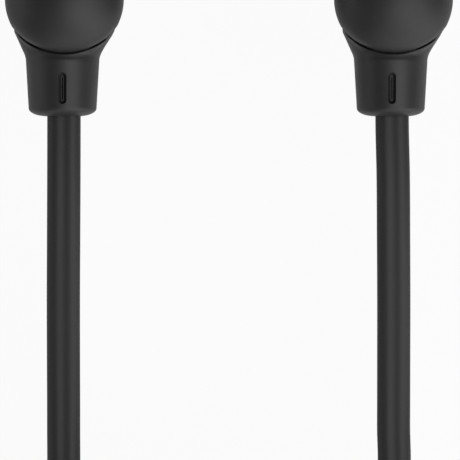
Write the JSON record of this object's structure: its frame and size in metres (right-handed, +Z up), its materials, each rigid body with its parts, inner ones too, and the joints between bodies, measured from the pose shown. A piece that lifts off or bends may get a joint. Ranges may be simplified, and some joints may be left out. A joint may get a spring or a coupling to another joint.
{
  "type": "wired earphones",
  "caption": "In-ear wired earphones with domed caps, flared housings, silicone ear tips, a flat-oval cord, Y-splitter and 3.5 mm stereo plug.",
  "frame": {"origin": "bottom centre of the box round the two earphones, without the cord: on the table, midway between them", "axes": "+Z up out of the table and out of the domed caps, +X from the left earphone to the right one, -Y along the cords as they leave the necks"},
  "size_m": [0.0624, 0.1658, 0.0173],
  "materials": {
    "housing": "satin moulded plastic, very fine grain",
    "ear_tip": "matte silicone",
    "cord": "soft matt TPE jacket",
    "cord_rubber": "matt TPE",
    "steel_mesh": "woven acoustic mesh",
    "vent_cloth": "black acoustic cloth",
    "steel": "zinc-plated pressing",
    "magnet": "nickel-plated",
    "copper": "enamelled wire",
    "film": "thin polymer film",
    "inner_plastic": "moulded",
    "board": "solder-masked board",
    "gold": "gold-plated, polished",
    "insulator": "moulded insulator"
  },
  "bodies": {
    "earphones": {"left_nozzle_mesh": "steel_mesh", "left_front_housing": "housing", "left_rear_cover": "housing", "left_driver_frame": "inner_plastic", "left_driver_yoke": "steel", "left_driver_magnet": "magnet", "left_pole_plate": "steel", "left_voice_coil": "copper", "left_diaphragm": "film", "left_terminal_board": "board", "left_vent_mesh": "vent_cloth", "left_cord_bush": "cord_rubber", "left_lead_wires": "copper", "left_cord": "cord", "left_coil": "cord", "left_cord_end": "cord", "right_nozzle_mesh": "steel_mesh", "right_front_housing": "housing", "right_rear_cover": "housing", "right_driver_frame": "inner_plastic", "right_driver_yoke": "steel", "right_driver_magnet": "magnet", "right_pole_plate": "steel", "right_voice_coil": "copper", "right_diaphragm": "film", "right_terminal_board": "board", "right_vent_mesh": "vent_cloth", "right_cord_bush": "cord_rubber", "right_lead_wires": "copper", "right_cord": "cord", "right_coil": "cord", "right_cord_end": "cord", "splitter_upper_shell": "housing", "splitter_lower_shell": "housing", "splitter_core": "cord_rubber", "main_cord": "cord", "main_coil": "cord", "main_cord_end": "cord", "plug_relief": "cord_rubber", "plug_grip": "housing", "plug_sleeve": "gold", "plug_ring": "gold", "plug_tip": "gold", "plug_insulators": "insulator"},
    "left_tip": {"left_ear_tip": "ear_tip"},
    "right_tip": {"right_ear_tip": "ear_tip"}
  },
  "joints": [
    {"name": "left_tip_pull", "type": "slide", "parent": "earphones", "child": "left_tip", "axis": [0, 0, -1], "range_m": [0, 0.018]},
    {"name": "right_tip_pull", "type": "slide", "parent": "earphones", "child": "right_tip", "axis": [0, 0, -1], "range_m": [0, 0.018]}
  ]
}
